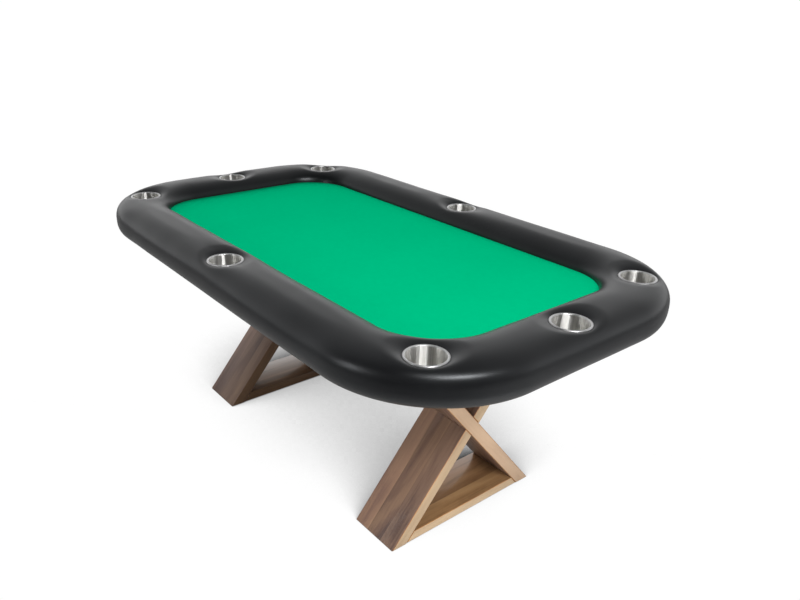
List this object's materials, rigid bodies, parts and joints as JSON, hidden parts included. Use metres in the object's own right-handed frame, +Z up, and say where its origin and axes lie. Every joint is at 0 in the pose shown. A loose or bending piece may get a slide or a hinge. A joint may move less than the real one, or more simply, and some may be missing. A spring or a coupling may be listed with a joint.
{
  "type": "gaming table",
  "caption": "Rectangular gaming table with rounded corners: padded vinyl rail with drop-in cup holders, green cloth playing surface and crossed-board wooden leg frames.",
  "frame": {"origin": "on the floor, under the middle of the table", "axes": "+X along the table's long side, +Y towards the back long side, +Z up"},
  "size_m": [1.8322, 1.0922, 0.7621],
  "materials": {
    "rail_vinyl": "black upholstery vinyl, soft satin, fine grain",
    "rail_foam": "soft upholstery foam",
    "playing_foam": "thin closed-cell foam",
    "cloth": "stretched green playing cloth, matt",
    "plywood": "raw birch plywood",
    "bearer_wood": "planed softwood, unfinished",
    "walnut": "glued walnut staves, satin lacquer",
    "cup_steel": "spun stainless steel, bright rolled rim",
    "zinc_steel": "bright zinc plate",
    "felt": "pressed felt"
  },
  "bodies": {
    "table": {"bearer_screws": "zinc_steel", "cloth_staples": "zinc_steel", "cover_staples": "zinc_steel", "cross_bearer_left": "bearer_wood", "cross_bearer_right": "bearer_wood", "floor_glides": "felt", "leg_bolts": "zinc_steel", "leg_inserts": "zinc_steel", "leg_left_board_a": "walnut", "leg_left_board_b": "walnut", "leg_left_foot_board": "walnut", "leg_left_head_board": "walnut", "leg_right_board_a": "walnut", "leg_right_board_b": "walnut", "leg_right_foot_board": "walnut", "leg_right_head_board": "walnut", "leg_washers": "zinc_steel", "long_bearer_back": "bearer_wood", "long_bearer_front": "bearer_wood", "playing_board": "plywood", "playing_cloth": "cloth", "playing_pad": "playing_foam", "rail_board_back": "plywood", "rail_board_front": "plywood", "rail_board_left": "plywood", "rail_board_right": "plywood", "rail_bolts": "zinc_steel", "rail_cover": "rail_vinyl", "rail_foam_back": "rail_foam", "rail_foam_back_left": "rail_foam", "rail_foam_back_right": "rail_foam", "rail_foam_front": "rail_foam", "rail_foam_front_left": "rail_foam", "rail_foam_front_right": "rail_foam", "rail_foam_left": "rail_foam", "rail_foam_right": "rail_foam", "rail_foam_side_back": "rail_foam", "rail_foam_side_front": "rail_foam", "rail_foam_side_left": "rail_foam", "rail_foam_side_right": "rail_foam", "rail_nuts": "zinc_steel", "rail_skirt_back": "plywood", "rail_skirt_back_left": "plywood", "rail_skirt_back_right": "plywood", "rail_skirt_front": "plywood", "rail_skirt_front_left": "plywood", "rail_skirt_front_right": "plywood", "rail_skirt_left": "plywood", "rail_skirt_right": "plywood", "rail_washers": "zinc_steel"},
    "cup_right": {"cup_holder_right": "cup_steel"},
    "cup_back_right": {"cup_holder_back_right": "cup_steel"},
    "cup_back": {"cup_holder_back": "cup_steel"},
    "cup_back_left": {"cup_holder_back_left": "cup_steel"},
    "cup_left": {"cup_holder_left": "cup_steel"},
    "cup_front_left": {"cup_holder_front_left": "cup_steel"},
    "cup_front": {"cup_holder_front": "cup_steel"},
    "cup_front_right": {"cup_holder_front_right": "cup_steel"}
  },
  "joints": [
    {"name": "cup_lift_right", "type": "slide", "parent": "table", "child": "cup_right", "axis": [0, 0, 1], "range_m": [0, 0.12]},
    {"name": "cup_lift_back_right", "type": "slide", "parent": "table", "child": "cup_back_right", "axis": [0, 0, 1], "range_m": [0, 0.12]},
    {"name": "cup_lift_back", "type": "slide", "parent": "table", "child": "cup_back", "axis": [0, 0, 1], "range_m": [0, 0.12]},
    {"name": "cup_lift_back_left", "type": "slide", "parent": "table", "child": "cup_back_left", "axis": [0, 0, 1], "range_m": [0, 0.12]},
    {"name": "cup_lift_left", "type": "slide", "parent": "table", "child": "cup_left", "axis": [0, 0, 1], "range_m": [0, 0.12]},
    {"name": "cup_lift_front_left", "type": "slide", "parent": "table", "child": "cup_front_left", "axis": [0, 0, 1], "range_m": [0, 0.12]},
    {"name": "cup_lift_front", "type": "slide", "parent": "table", "child": "cup_front", "axis": [0, 0, 1], "range_m": [0, 0.12]},
    {"name": "cup_lift_front_right", "type": "slide", "parent": "table", "child": "cup_front_right", "axis": [0, 0, 1], "range_m": [0, 0.12]}
  ]
}
